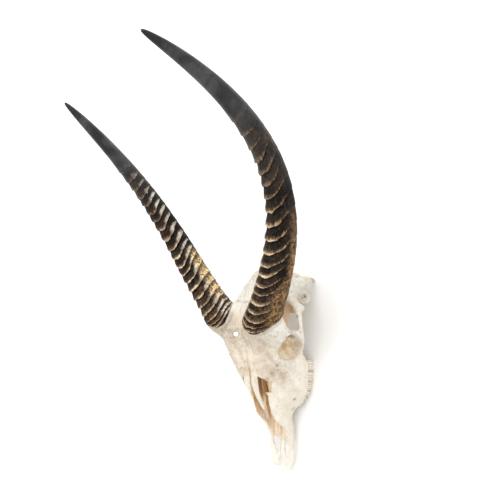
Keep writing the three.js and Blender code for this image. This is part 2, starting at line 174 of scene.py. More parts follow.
# Upper cheek teeth from the front: name, middle of the crown across and along, length, width, lobes and
# how much shorter than the molars the crown is worn
TEETH = [
    ("premolar_2", 34, 122.5, 9, 9, 1, 6),
    ("premolar_3", 38.5, 132, 9.4, 11, 1, 4),
    ("premolar_4", 43, 142.3, 10.4, 12.5, 1, 2),
    ("molar_1", 46, 155.8, 15.6, 14, 2, 0),
    ("molar_2", 47.5, 173.2, 18.2, 15, 2, 0),
    ("molar_3", 46.5, 193, 20.4, 14.5, 2, 0),
]


def place(points):
    """Millimetres in the animal's axes to metres in the part's frame."""
    return (np.asarray(points, float) + [0, MUZZLE_Y, -BITE_Z]) * MM


def ramp(low, high, value):
    """0 where value is at low and 1 where it is at high, with a smooth way between."""
    share = np.clip((value - low) / (high - low), 0, 1)
    return share * share * (3 - 2 * share)


# The corners of a cell of the grid, and its edges as pairs of corners
CORNERS = [(a, b, c) for a in (0, 1) for b in (0, 1) for c in (0, 1)]
EDGES = [(a, b) for a in CORNERS for b in CORNERS if min(np.subtract(b, a)) == 0 and sum(b) - sum(a) == 1]


def lattice(ix, iy, iz, seed):
    """A repeatable random number from -1 to 1 for each whole-number point."""
    mask = 0xFFFFFFFF
    mixed = (ix * 374761393 + iy * 668265263 + iz * 1440662683 + seed * 1274126177) & mask
    mixed = ((mixed ^ (mixed >> 13)) * 1103515245) & mask
    mixed = ((mixed ^ (mixed >> 16)) * 668265263) & mask
    return ((mixed ^ (mixed >> 15)) & 0xFFFF) / 32767.5 - 1


def noise(x, y, z, size, seed):
    """Smooth noise from -1 to 1 whose lumps are about size across."""
    total = 0
    cells = []
    for value in (x, y, z):
        value = np.asarray(value, float) / size
        whole = np.floor(value)
        part = value - whole
        cells.append((whole.astype(np.int64), part * part * (3 - 2 * part)))
    (ix, fx), (iy, fy), (iz, fz) = cells
    for a, b, c in CORNERS:
        weight = (fx if a else 1 - fx) * (fy if b else 1 - fy) * (fz if c else 1 - fz)
        total = total + weight * lattice(ix + a, iy + b, iz + c, seed)
    return total


def fractal(x, y, z, size, seed):
    """Noise of three sizes, each half the size and strength of the one before."""
    return sum(noise(x, y, z, size / 2 ** k, seed + k) / 2 ** k for k in range(3)) / 1.6


def cubic(t, a, b, leaving, reaching):
    """A smooth curve from a to b for t from 0 to 1, with the given slopes at its ends."""
    return (
        (2 * t ** 3 - 3 * t ** 2 + 1) * a + (t ** 3 - 2 * t ** 2 + t) * leaving
        + (3 * t ** 2 - 2 * t ** 3) * b + (t ** 3 - t ** 2) * reaching
    )


def spline(knots, per_span):
    """A smooth curve through rows of numbers, each span cut into equal shares."""
    knots = np.asarray(knots, float)
    slopes = np.gradient(knots, axis=0)
    t = np.linspace(0, 1, per_span, endpoint=False)[:, None]
    pieces = [cubic(t, *ends) for ends in zip(knots, knots[1:], slopes, slopes[1:])]
    return np.concatenate(pieces + [knots[-1:]])


def rounded(points, per_span=4):
    """A closed smooth outline through points of a plane, even where their spacing changes."""
    points = np.asarray(points, float)
    count = len(points)
    out = []
    for i in range(count):
        p = [points[(i + k) % count] for k in (-1, 0, 1, 2)]
        gaps = [max(np.linalg.norm(p[k + 1] - p[k]), 1e-3) ** 0.5 for k in range(3)]
        first = (p[1] - p[0]) / gaps[0] - (p[2] - p[0]) / (gaps[0] + gaps[1]) + (p[2] - p[1]) / gaps[1]
        last = (p[2] - p[1]) / gaps[1] - (p[3] - p[1]) / (gaps[1] + gaps[2]) + (p[3] - p[2]) / gaps[2]
        for t in np.arange(per_span) / per_span:
            out.append(cubic(t, p[1], p[2], first * gaps[1], last * gaps[1]))
    return np.array(out)


def polygon_distance(x, y, corners):
    """Distance in a plane to a closed outline, negative inside it."""
    nearest = np.full(np.broadcast(x, y).shape, 1e9)
    inside = np.zeros(nearest.shape, bool)
    corners = np.asarray(corners, float)
    for (ax, ay), (bx, by) in zip(corners, np.roll(corners, -1, axis=0)):
        ex, ey = bx - ax, by - ay
        wx, wy = x - ax, y - ay
        t = np.clip((wx * ex + wy * ey) / max(ex * ex + ey * ey, 1e-9), 0, 1)
        nearest = np.minimum(nearest, (wx - t * ex) ** 2 + (wy - t * ey) ** 2)
        if ay != by:
            crosses = (ay <= y) != (by <= y)
            inside ^= crosses & (x < ax + (y - ay) * ex / ey)
    return np.sqrt(nearest) * np.where(inside, -1, 1)


def dot(offset, direction):
    return sum(a * b for a, b in zip(offset, direction))


def egg(q, r):
    """Rough distance to an ellipsoid of radii r, for offsets q from its middle."""
    near = np.sqrt(sum((a / b) ** 2 for a, b in zip(q, r)))
    slope = np.sqrt(sum((a / b ** 2) ** 2 for a, b in zip(q, r)))
    return near * (near - 1) / np.maximum(slope, 1e-6)


def ball(centre, radii):
    def distance(x, y, z):
        return egg((x - centre[0], y - centre[1], z - centre[2]), radii)
    centre, radii = np.array(centre, float), np.array(radii, float)
    return distance, centre - radii, centre + radii


def bar(knots, upright=(0, 0, 1), samples=4, closed=False):
    """A bar along a smooth path. Each knot is x, y, z, half width across and half height."""
    if closed:
        knots = list(knots) + [knots[0]]
    path = spline(knots, samples)
    upright = np.array(upright, float)

    def distance(x, y, z):
        best = np.full(np.broadcast(x, y, z).shape, 1e3)
        for a, b in zip(path, path[1:]):
            along = b[:3] - a[:3]
            length = np.linalg.norm(along)
            along = along / length
            across = np.cross(along, upright)
            across /= np.linalg.norm(across)
            up = np.cross(across, along)
            q = (x - a[0], y - a[1], z - a[2])
            on = dot(q, along)
            t = np.clip(on / length, 0, 1)
            wide = a[3] + t * (b[3] - a[3])
            tall = a[4] + t * (b[4] - a[4])
            local = (dot(q, across), dot(q, up), on - t * length)
            best = np.minimum(best, egg(local, (wide, tall, np.minimum(wide, tall))))
        return best

    reach = path[:, 3:5].max()
    return distance, path[:, :3].min(0) - reach, path[:, :3].max(0) + reach


def rod(start, end, radius):
    return bar([(*start, radius, radius), (*end, radius, radius)], upright=(0, 0.3, 1), samples=1)


class Bone:
    """Signed distance to the bone's surface on an even grid, negative inside."""

    MARGIN = 15.0

    def __init__(self, low, high, step):
        self.axes = [np.arange(a, b + step / 2, step) for a, b in zip(low, high)]
        self.step = step
        self.field = np.full([len(a) for a in self.axes], 1e3)

    def change(self, shape, blend, sides, sign):
        """Join a form to the bone with sign 1, or take it away with sign -1, on one side or both."""
        distance, low, high = shape
        ends = [(a - self.MARGIN, b + self.MARGIN) for a, b in zip(low, high)]
        spans = tuple(slice(*np.searchsorted(axis, pair)) for axis, pair in zip(self.axes, ends))
        value = distance(*np.ix_(*[axis[span] for axis, span in zip(self.axes, spans)]))
        mirrored = self.field[::-1]
        for field in {"left": [self.field], "right": [mirrored], "both": [self.field, mirrored]}[sides]:
            field[spans] = sign * self.soft_min(sign * field[spans], value, blend)

    @staticmethod
    def soft_min(a, b, blend):
        if not blend:
            return np.minimum(a, b)
        overlap = np.maximum(blend - np.abs(a - b), 0)
        return np.minimum(a, b) - overlap ** 2 / (4 * blend)

    def add(self, shape, blend, sides="both"):
        self.change(shape, blend, sides, 1)

    def cut(self, shape, blend, sides="both"):
        self.change(shape, blend, sides, -1)

    def carve(self, distance):
        """Take away what lies inside a form that is given as distances on the whole grid."""
        self.field = np.maximum(self.field, -distance)

    def sample(self, field, points):
        """Values of a field of this grid at points, by straight-line mixing."""
        total = 0
        base, part = [], []
        for k, axis in enumerate(self.axes):
            value = (points[:, k] - axis[0]) / self.step
            whole = np.clip(np.floor(value).astype(int), 0, len(axis) - 2)
            base.append(whole)
            part.append(np.clip(value - whole, 0, 1))
        for a, b, c in CORNERS:
            weight = (part[0] if a else 1 - part[0]) * (part[1] if b else 1 - part[1])
            weight = weight * (part[2] if c else 1 - part[2])
            total = total + weight * field[base[0] + a, base[1] + b, base[2] + c]
        return total

    def surface(self):
        """A mesh of four-sided faces over the zero level, one vertex in each crossed cell."""
        inside = self.field < 0
        shape = [n - 1 for n in inside.shape]
        count = sum(
            inside[a:a + shape[0], b:b + shape[1], c:c + shape[2]].astype(np.int8) for a, b, c in CORNERS
        )
        crossed = (count > 0) & (count < 8)
        cells = np.argwhere(crossed)
        number = np.full(shape, -1, np.int64)
        number[crossed] = np.arange(len(cells))
        total, hits = np.zeros((len(cells), 3)), np.zeros(len(cells))
        for a, b in EDGES:
            da, db = (self.field[tuple((cells + corner).T)] for corner in (a, b))
            cross = (da < 0) != (db < 0)
            t = np.where(cross, da / np.where(cross, da - db, 1), 0)
            total[cross] += (a + t[:, None] * np.subtract(b, a))[cross]
            hits += cross
        origin = np.array([axis[0] for axis in self.axes])
        vertices = origin + (cells + total / hits[:, None]) * self.step
        faces = []
        unit = np.eye(3, dtype=int)
        for axis in range(3):
            u, v = unit[(axis + 1) % 3], unit[(axis + 2) % 3]
            first = [slice(1, n) for n in shape]
            second = list(first)
            first[axis] = slice(0, shape[axis])
            second[axis] = slice(1, shape[axis] + 1)
            here, there = inside[tuple(first)], inside[tuple(second)]
            edges = np.argwhere(here != there)
            start = edges + 1 - unit[axis]
            ring = [number[tuple((start - du * u - dv * v).T)] for du, dv in ((1, 1), (0, 1), (0, 0), (1, 0))]
            ring = np.stack(ring, 1)
            going_in = ~here[tuple(edges.T)]
            ring[going_in] = ring[going_in][:, ::-1]
            faces.append(ring)
        return vertices, np.concatenate(faces)


def horn_line(arc):
    """Place, direction, front, side and half width of the left horn at distances along it."""
    arc = np.asarray(arc, float)
    s = arc / HORN_LENGTH
    bends = list(enumerate(HORN_BEND, 1))
    at = HORN_BASE + HORN_REACH * sum(np.multiply.outer(s ** k, bend) for k, bend in bends)
    along = sum(np.multiply.outer(k * s ** (k - 1), bend) for k, bend in bends)
    along /= np.linalg.norm(along, axis=-1, keepdims=True)
    front = HORN_FRONT - along * (along @ HORN_FRONT)[..., None]
    front /= np.linalg.norm(front, axis=-1, keepdims=True)
    side = np.cross(along, front)
    flare = 1 + 0.07 * np.clip(1 - arc / 40, 0, 2)
    radius = HORN_RADIUS * np.clip(1 - np.maximum(s, 0), 0, 1) ** HORN_TAPER * flare
    return at, along, front, side, radius


def around(turn, knots):
    """A number that changes round the horn, given at some turns in degrees."""
    degrees, values = np.transpose(knots)
    fine = np.arange(-180, 180, 2.0)
    even = np.interp(fine, degrees, values, period=360)
    for _ in range(5):
        even = (np.roll(even, 3) + 2 * even + np.roll(even, -3)) / 4
    return np.interp(np.degrees(turn), fine, even, period=360)


# The stretch of a horn's centre line that is searched for points near its base, and the box of those points
BASE_ARCS = np.arange(-84.0, 116.0, 2.0)
HORN_REGION = (np.array([12.0, 226, 100]), np.array([90.0, 318, 180]))
PEDICLE = [(38, 246, 108, 37, 30), (45, 259, 127, 35, 31), (53.5, 273, 146, 33, 32.5), (60, 285, 157, 32, 32)]
# How much thinner the bone is than the horn at the rim and how far down it is so, and what space the
# sheath takes outside its radius and below its rim
NECK_INSET = 1.6
NECK_DEPTH = 9
SHEATH_REACH = 4.2
RIM_SEAT = 1.3


def horn_space(x, y, z, rim):
    """For points near the left horn's base: height over the rim, distance from the axis, radius there."""
    at, along, front, side, radius = horn_line(BASE_ARCS)
    shape = np.broadcast(x, y, z).shape
    best = np.full(shape, 1e9)
    index = np.zeros(shape, int)
    for k, (ax, ay, az) in enumerate(at):
        gap = (x - ax) ** 2 + (y - ay) ** 2 + (z - az) ** 2
        closer = gap < best
        best[closer] = gap[closer]
        index[closer] = k
    offset = np.stack(np.broadcast_arrays(x, y, z), -1) - at[index]
    on = (offset * along[index]).sum(-1)
    offset -= on[..., None] * along[index]
    out = np.linalg.norm(offset, axis=-1)
    turn = np.arctan2((offset * side[index]).sum(-1), (offset * front[index]).sum(-1))
    wide = radius[index]
    cap = RIM_MIDDLE + (around(turn, rim) - RIM_MIDDLE) * np.minimum(out / wide, 1.25)
    return BASE_ARCS[index] + on - cap, out, wide


def pedicle(rim):
    """The column of bone under a horn, from the brow up to the sheath's rim."""
    column = bar(PEDICLE, (0, -1, 0.3))[0]

    def distance(x, y, z):
        above, out, wide = horn_space(x, y, z, rim)
        bumps = 0.5 * noise(x, y, z, 5, 71)
        neck = np.maximum(out - wide + NECK_INSET + bumps, -above - NECK_DEPTH)
        return np.maximum(np.minimum(neck, column(x, y, z) + bumps), above - 1)
    return (distance, *HORN_REGION)


def sheath_room(rim):
    """The space that the horn sheath fills."""
    def distance(x, y, z):
        above, out, wide = horn_space(x, y, z, rim)
        return np.maximum(out - wide - SHEATH_REACH, -RIM_SEAT - above)
    return (distance, *HORN_REGION)


def interpolate_rows(rows, y):
    """Smooth values between rows whose first number is the distance along the skull."""
    knots = rows[:, 0]
    slopes = np.gradient(rows[:, 1:], knots, axis=0)
    k = int(np.clip(np.searchsorted(knots, y) - 1, 0, len(knots) - 2))
    gap = knots[k + 1] - knots[k]
    t = np.clip((y - knots[k]) / gap, 0, 1)
    return cubic(t, rows[k, 1:], rows[k + 1, 1:], gap * slopes[k], gap * slopes[k + 1])


def head_section(y):
    roof, sx, sz, cx, cz, dx, dz, ex, ez, floor = interpolate_rows(STATIONS, y)
    left = [(sx, sz), (cx, cz), (dx, dz), (ex, ez)]
    right = []
    for (px, pz), share in zip(left, SWELL_SHARES):
        out = SWELL * share * np.exp(-(((y - SWELL_MIDDLE) / SWELL_LENGTH) ** 2))
        right.append((-px - out, pz + out))
    return rounded([(0, roof), *left, (0, floor), *right[::-1]])


def cavity_section(y):
    roof, top, wide, floor = [np.interp(y, CAVITY[:, 0], column) for column in CAVITY[:, 1:].T]
    shoulder = min(roof - 22, 62)
    half = [(top * 0.8, roof), (top, roof - 5), (wide, shoulder), (wide, floor + 10), (wide * 0.7, floor)]
    return half + [(-px, pz) for px, pz in half[::-1]]


def loft(bone, section, first, last):
    """Distance to a form given by its cross-sections from one end to the other."""
    x, z = bone.axes[0][:, None], bone.axes[2][None, :]
    field = np.full(bone.field.shape, 1e3)
    for k, y in enumerate(bone.axes[1]):
        beyond = max(first - y, y - last, 0)
        if beyond > 20:
            continue
        flat = polygon_distance(x, z, section(np.clip(y, first, last)))
        field[:, k] = np.hypot(np.maximum(flat, 0), beyond) + np.minimum(flat, 0) * (beyond == 0)
    steep = np.sqrt(sum(g ** 2 for g in np.gradient(np.clip(field, -40, 60), bone.step)))
    return field / np.clip(steep, 1, 3)


def socket_forms():
    """The eye socket's rim, walls and floor and the cheek, each with the width of its blend."""
    rim = [
        (57, 222, 118), (61, 240, 113), (67, 250.5, 98), (71, 250, 76), (70.5, 240, 62),
        (69, 228, 58), (65, 212, 61), (60, 201.5, 76), (57, 200.5, 95), (54.5, 208, 111),
    ]
    rear_bar = [
        (54, 246, 120, 6, 5), (64, 250, 107, 5, 4), (69.5, 252.5, 90, 4.4, 3.4), (71.5, 252.5, 72, 5, 3.4),
        (70, 250, 57, 7, 3.6),
    ]
    wall = [(56, 250, 117, 12, 2.6), (56, 253, 102, 14, 2.6), (54, 254, 84, 15, 2.4), (56, 252, 62, 14, 2.4)]
    floor = [(66, 240, 60, 12, 9), (50, 241, 62, 14, 12), (36, 242, 60, 13, 11)]
    arch = [
        (57.5, 190, 45.5, 4, 8), (64.5, 210, 53.5, 4, 7), (68.5, 230, 56.5, 3.6, 6),
        (70.5, 250, 58.5, 3.2, 6), (70.5, 272, 61.5, 3, 6), (68.5, 292, 66.5, 3.6, 8),
        (59.5, 308, 67.5, 7, 9), (43.5, 316, 63.5, 8, 9),
    ]
    # The raised lower edge of the cheek, curving round in front of the tooth roots
    cheek_edge = [
        (56, 190, 80, 4.4, 5), (58.5, 176, 68, 4.6, 5), (59.5, 164, 54, 4.6, 5), (56.5, 153, 40, 4.4, 5),
        (52, 149, 24, 3.8, 5),
    ]
    return [
        (bar([(*p, 4.6, 4.2) for p in rim], (1, 0.02, 0.05), closed=True), 7),
        (bar(rear_bar, (1, 0, 0.2)), 6),
        (bar(wall, (0, 1, 0)), 3),
        (bar(floor), 3),
        (bar(arch), 8),
        (bar(cheek_edge), 5),
    ]


def rear_forms():
    """Ear region, jugular process, back of the head and edges of the palate, each with its blend."""
    ear_tube = [(38, 318, 32, 7, 7), (50, 319, 36, 6, 6), (61, 320, 39, 4.6, 4.8)]
    jugular_process = [
        (44, 342, 58, 13, 13), (46, 348, 34, 13, 14), (47, 355, 14, 9, 10), (46, 360, -2, 5.4, 4.6),
        (45, 361, BITE_Z - 6, 4.2, 3.8),
    ]
    nape_crest = [
        (0, 357, 114, 4, 4), (15, 357, 101, 4, 4), (33, 355, 84, 4, 4), (48, 351, 66, 4.4, 4.4),
        (56, 342, 46, 5, 6),
    ]
    temple_ridge = [(54, 258, 112, 2, 2), (47, 285, 98, 2, 2), (47, 312, 88, 2, 2), (50, 340, 76, 3, 3)]
    palate = [(20, 204, 10, 2.2, 8), (18, 222, 17, 2.2, 11), (17, 244, 25, 2.2, 10), (16, 262, 32, 2.5, 6)]
    bulla = ball((41, 325, 12), (11.5, 15, 19))
    arch_root = ball((52, 299, 52), (18, 11, 8))
    condyle = ball((21, 361, 20), (12, 12, 17))
    skull_base = ball((0, 345, 24), (30, 20, 13))
    nape_knob = ball((0, 357, 98), (7, 8, 14))
    return [
        (bulla, 5), (bar(ear_tube), 4), (arch_root, 7), (bar(jugular_process, (0, 1, 0)), 6), (condyle, 5),
        (skull_base, 8), (bar(nape_crest), 5), (nape_knob, 6), (bar(temple_ridge), 6), (bar(palate), 4),
    ]


def muzzle_forms():
    """The thin front bones, each with its blend."""
    outer = [
        (25, 98, 52, 2.2, 4), (26, 78, 26, 2.6, 5), (26, 58, 10, 3.4, 5.5), (24, 38, 5, 5, 4.4),
        (19, 18, 3.4, 8, 3.4), (13, 5, 3, 8.5, 2.8), (10, 0.5, 3, 4, 1.4),
    ]
    inner = [(5, 74, 6, 3, 3), (5, 40, 4.5, 2.6, 2.4), (7, 16, 3.6, 3, 2.4)]
    return [(bar(outer), 3), (bar(inner), 2)]


def nose_forms():
    """The middle wall and thin scrolls inside the nose, each with its blend."""
    middle_wall = [(0, 60, 10, 2, 5), (0, 100, 14, 2, 8), (0, 150, 18, 2, 12), (0, 196, 30, 2, 14)]
    low_scroll = [(21, 88, 26, 2.4, 3), (19, 120, 40, 3, 5), (18, 160, 50, 4, 8), (14, 196, 56, 4, 8)]
    high_scroll = [(24, 138, 66, 9, 4), (22, 158, 74, 11, 5), (20, 178, 78, 10, 5)]
    return [(bar(middle_wall), 2), (bar(low_scroll), 3), (bar(high_scroll), 4)]


def nasal_height(y):
    """Height of the top line of the nasal bones."""
    return NASAL_PEAK_Z - NASAL_FALL * (NASAL_PEAK_Y - np.minimum(y, NASAL_PEAK_Y)) ** 2


def nasal_bone(tip_y):
    stations = [NASAL_ROOT_Y, NASAL_PEAK_Y, 160, (160 + tip_y) / 2, tip_y + 3, tip_y]
    across = [8, 8.8, 9.2, 8.8, 7.4, 6.2]
    wide = [6.6, 7.6, 8, 7, 5, 1.9]
    thick = [3, 3, 2.6, 2.4, 2.2, 1]
    return bar([(x, y, nasal_height(y), w, t) for x, y, w, t in zip(across, stations, wide, thick)])


def cut_hollows(bone, x, y, z):
    """The nose, the openings beside it, the worn muzzle, the eye sockets and the smaller openings."""
    cavity = loft(bone, cavity_section, CAVITY[0, 0], CAVITY[-1, 0])
    cavity = np.maximum(cavity, np.maximum(CAVITY[0, 0] - y, y - CAVITY[-1, 0]))
    bone.field = -bone.soft_min(-bone.field, cavity, 1.5)
    rough = 1.8 * noise(x, y, z, 7, 11) + 1.6 * noise(x, y, z, 3.4, 12)
    plan = polygon_distance(x[..., 0], y[..., 0], FISSURE)[:, :, None]
    plan = np.minimum(plan, plan[::-1])
    bone.carve(np.maximum(plan + rough, FISSURE_LOW_Z - z))
    worn = polygon_distance(y[0], z[0], WORN_EDGE)[None]
    bone.carve(np.maximum(worn + rough, x + WORN_INSIDE_X))
    bone.cut(ball(ORBIT_CENTRE, ORBIT_RADII), 2)
    bone.cut(rod(FORAMEN_TOP, FORAMEN_BOTTOM, FORAMEN_RADIUS), 2, "right")
    shifted = [(px, py + FORAMEN_STAGGER, pz) for px, py, pz in (FORAMEN_TOP, FORAMEN_BOTTOM)]
    bone.cut(rod(*shifted, FORAMEN_RADIUS), 2, "left")
    ear_hole = rod((66, 321, 41), (44, 318, 37), 2.3)
    nape_hole = rod((0, 385, 40), (0, 326, 46), 11)
    throat = ball((0, 216, 24), (12, 30, 16))
    cheek_hole = rod((52, 128, 36), (40, 138, 34), 3.2)
    for shape, blend in ((ear_hole, 1), (nape_hole, 3), (throat, 4), (cheek_hole, 1.5)):
        bone.cut(shape, blend)
    return cavity


def build_bone():
    reach = np.ceil(GRID_SIDE / STEP) * STEP
    bone = Bone((-reach, GRID_FRONT, BITE_Z - GRID_BELOW), (reach, GRID_BACK, GRID_TOP), STEP)
    x, y, z = np.ix_(*bone.axes)
    bone.field = loft(bone, head_section, STATIONS[0, 0], STATIONS[-1, 0])
    bone.add(pedicle(LEFT_RIM), 14, "left")
    bone.add(pedicle(RIGHT_RIM), 14, "right")
    for shape, blend in (*socket_forms(), *rear_forms()):
        bone.add(shape, blend)
    cavity = cut_hollows(bone, x, y, z)
    for shape, blend in muzzle_forms():
        bone.add(shape, blend)
    bone.add(nasal_bone(NASAL_TIP_Y), 0.8, "left")
    bone.add(nasal_bone(SHORT_NASAL_Y), 0.8, "right")
    gap = 0.4 + 1.8 * ramp(SLIT_END_Y, 162, y)
    under = 96 - 0.3 * (NASAL_PEAK_Y - y) - z
    bone.carve(np.maximum(np.abs(x) - gap, np.maximum(y - SLIT_END_Y, under)))
    for shape, blend in nose_forms():
        bone.add(shape, blend)
    bone.cut(sheath_room(LEFT_RIM), 0, "left")
    bone.cut(sheath_room(RIGHT_RIM), 0, "right")
    bone.carve(z - BITE_Z)
    return bone, cavity


def new_mesh(name, vertices, faces, attributes=None):
    """A smooth mesh object in the part's frame, with named numbers on its vertices."""
    mesh = bpy.data.meshes.new(name)
    mesh.from_pydata(place(vertices).tolist(), [], [list(map(int, f)) for f in faces])
    mesh.validate()
    for key, values in (attributes or {}).items():
        layer = mesh.attributes.new(key, "FLOAT", "POINT")
        layer.data.foreach_set("value", np.ascontiguousarray(values, np.float32))
    mesh.polygons.foreach_set("use_smooth", np.ones(len(mesh.polygons), bool))
    piece = bpy.data.objects.new(name, mesh)
    scene.collection.objects.link(piece)
    return piece


def vertex_normals(vertices, faces):
    a, b, c, d = (vertices[faces[:, k]] for k in range(4))
    normal = np.cross(c - a, d - b)
    total = np.zeros_like(vertices)
    for k in range(4):
        np.add.at(total, faces[:, k], normal)
    return total / np.maximum(np.linalg.norm(total, axis=1, keepdims=True), 1e-9)


def groove(points, line, width):
    """From 1 on a line to 0 at width away from it."""
    best = np.full(len(points), 1e9)
    line = np.asarray(line, float)
    for a, b in zip(line, line[1:]):
        along = b - a
        t = np.clip(((points - a) @ along) / (along @ along), 0, 1)
        best = np.minimum(best, np.linalg.norm(points - a - t[:, None] * along, axis=1))
    return 1 - ramp(0.2 * width, width, best)


# Low ridges and hollows of the face on the left side: line, reach and height
FOLDS = [
    ([(20, 236, 138), (22, 214, 128), (24, 192, 118), (26, 176, 110)], 9, 1.4),
    ([(34, 232, 132), (38, 212, 120), (42, 194, 106)], 9, -1.3),
    ([(62, 252, 118), (56, 262, 120), (50, 276, 116)], 6, 1.5),
    ([(18, 254, 143), (20, 236, 137), (18, 218, 128)], 5, -1.2),
]
# Seams between the bones of the left side
SEAMS = [
    [(0, 178, 114), (0, 214, 127), (0, 250, 142), (0, 290, 150), (0, 330, 132)],
    [(0, 176, 114), (16, 182, 116), (30, 176, 110), (33, 163, 98)],
    [(33, 163, 98), (44, 178, 98), (52, 196, 100), (60, 208, 100)],
    [(46, 178, 96), (56, 184, 78), (63, 194, 62), (64, 206, 52)],
    [(0, 300, 148), (20, 303, 141), (36, 310, 120), (46, 316, 96)],
]
SEAM_WIDTH = 2.4
# Brown marks, mostly stains, with painted shade under the ear region and round the brow's foramina: the three
# coordinates of the middle, reach and strength
STAINS_AND_SHADE = [
    (40, 110, 21, 9, 0.8), (45, 366, 0, 13, 0.8), (53, 322, 24, 12, 0.7), (62, 282, 61, 5, 1),
    (45, 356, 46, 9, 0.6), (42, 345, 24, 11, 0.7), (-27, 230, 131, 9, 0.6), (20, 231, 134, 7, 0.35),
    (62, 322, 38, 4, 0.9), (-45, 366, 0, 12, 0.6), (-53, 322, 24, 11, 0.5), (43, 232, 74, 9, 0.3),
    (46, 219, 66, 7, 0.35), (60, 318, 45, 4, 0.7), (56, 330, 36, 5, 0.6), (50, 349, 60, 4, 0.5),
    (48, 196, 96, 5, 0.4), (40, 181, 96, 5, 0.45), (30, 168, 98, 6, 0.5), (56, 199, 92, 3.5, 0.6),
    (58, 201, 82, 3.5, 0.55), (51, 194, 99, 3.5, 0.5), (48, 188, 92, 3.5, 0.5),
    (69.0, 282.1, 72.2, 4.5, 0.9), (-10, 234, 144, 6, 0.5), (53, 204, 106, 3.5, 0.45),
]
# Old bone is most rugged here, in front of the eye socket
TEAR_PIT = (48, 192, 92)
TEAR_PIT_REACH = 26


def seam_marks(wavy):
    """1 on the seams between the bones and 0 beside them."""
    seams = np.zeros(len(wavy))
    for line in SEAMS:
        for side in (1, -1):
            seams = np.maximum(seams, groove(wavy, np.array(line) * [side, 1, 1], SEAM_WIDTH))
    return seams


def bone_relief(points, seams):
    """How far old bone's waves, pits and folds stand out at each point, how pitted it is, which also sets
    painted shade in its pits and hollows, and how rugged it is.
    """
    x, y, z = points.T
    broad = fractal(x, y, z, 26, 51)
    fine = fractal(x, y, z, 7, 55)
    gap = (np.abs(x) - TEAR_PIT[0]) ** 2 + (y - TEAR_PIT[1]) ** 2 + (z - TEAR_PIT[2]) ** 2
    horn_foot = 0.7 * ramp(205, 235, y) * ramp(268, 250, y)
    rugged = np.clip(0.35 + np.exp(-gap / TEAR_PIT_REACH ** 2) + horn_foot, 0, 1.2)
    pits_and_shade = ramp(0.25, 0.7, fractal(x, y, z, 5, 61)) * rugged
    ripple = fractal(x, y * 0.6, z, 4.6, 73) * rugged
    push = 0.8 * broad + 0.5 * fine + ripple - 1.5 * pits_and_shade - 0.7 * seams
    for line, reach, rise in FOLDS:
        for side in (1, -1):
            push += rise * groove(points * [side, 1, 1], line, reach)
    rear = ramp(285, 330, y)
    hollows = ramp(0.2, 0.6, fractal(x, y, z, 6.5, 68))
    push += rear * (2.4 * fractal(x, y, z, 10, 65) - 1.7 * hollows)
    resting = ramp(2, 6, z - BITE_Z)
    # The second mark is painted shade in the pits and in the hollows at the back of the head
    return push * resting, np.maximum(pits_and_shade, 0.4 * rear * hollows), np.clip(rugged + 0.6 * rear, 0, 1)


def lining(bone, cavity, points, moved, normals):
    """1 on the tan bone inside the nose and in the slit between the nasal bones, and 0 outside."""
    x, y, z = points.T
    depth = bone.sample(cavity, moved)
    inner = 1 - ramp(0.6, 2.4, np.abs(depth))
    inner *= ramp(34, 60, y) * (1 - ramp(176, 190, y))
    inner = np.maximum(inner, ramp(1, -3, depth))
    outside = ramp(-5, -3.5, z - nasal_height(y)) * ramp(17.5, 16, np.abs(x))
    outside *= ramp(108, 112, y)
    inner *= 1 - outside * ramp(1.2, 2.2, np.abs(x))
    slit = ramp(3, 1.6, np.abs(x)) * ramp(190, 182, y) * ramp(85, 95, z)
    inner = np.maximum(inner, slit * (normals[:, 2] < 0.75))
    return inner * (0.45 + 0.55 * ramp(60, 150, y))


def bone_regions(points, normals, wavy):
    """Marks from 0 to 1 for the places where the bone has another colour or painted shade."""
    x, y, z = points.T
    orbit = (np.abs(x) - ORBIT_CENTRE[0], y - ORBIT_CENTRE[1], z - ORBIT_CENTRE[2])
    socket = (1 - ramp(1.2, 3, np.abs(egg(orbit, ORBIT_RADII)))) * ramp(64, 52, np.abs(x))
    # Painted shade: tan brown on the braincase wall in the temporal fossa behind the eye socket
    fossa_shade = ramp(256, 266, y) * (1 - ramp(304, 316, y)) * ramp(104, 92, z)
    fossa_shade *= ramp(56, 48, np.abs(x))
    neck = np.zeros(len(points))
    for side, rim in ((1, LEFT_RIM), (-1, RIGHT_RIM)):
        above, out, wide = horn_space(side * x, y, z, rim)
        band = ramp(-17, -8, above) * ramp(7, 3, above) * ramp(0.7, 0.85, out / wide)
        neck = np.maximum(neck, band * (side * x > 0) * ramp(100, 112, z) * ramp(290, 276, y))
    # Upward-facing bone between the brow and the horns takes the beige: partly its own tone, partly painted
    # shade on faces turned up
    beige_top_shade = ramp(120, 185, y) * ramp(300, 262, y) * ramp(-0.1, 0.6, normals[:, 2])
    # Brown stains, with painted shade under the ear region and round the brow's foramina
    stain_and_shade = np.zeros(len(points))
    for *centre, reach, strength in STAINS_AND_SHADE:
        gap = np.linalg.norm(wavy - centre, axis=1)
        stain_and_shade = np.maximum(stain_and_shade, strength * ramp(reach, reach * 0.4, gap))
    return {"socket": socket, "fossa_shade": fossa_shade, "neck": neck, "beige_top_shade": beige_top_shade, "stain_and_shade": stain_and_shade}


def make_skull():
    bone, cavity = build_bone()
    points, faces = bone.surface()
    normals = vertex_normals(points, faces)
    wavy = points + 1.8 * np.stack([fractal(*points.T, 5, seed) for seed in (31, 37, 41)], 1)
    seams = seam_marks(wavy)
    push, pits_and_shade, rugged = bone_relief(points, seams)
    vertices = points + normals * push[:, None]
    inner = lining(bone, cavity, points, vertices, normals)
    marks = {"inner": inner, "seam": seams, "pit_shade": pits_and_shade, "rugged": rugged}
    skull = new_mesh("skull_bone", vertices, faces, {**marks, **bone_regions(points, normals, wavy)})
    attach(skull, "root")
    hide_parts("skull")
    return skull


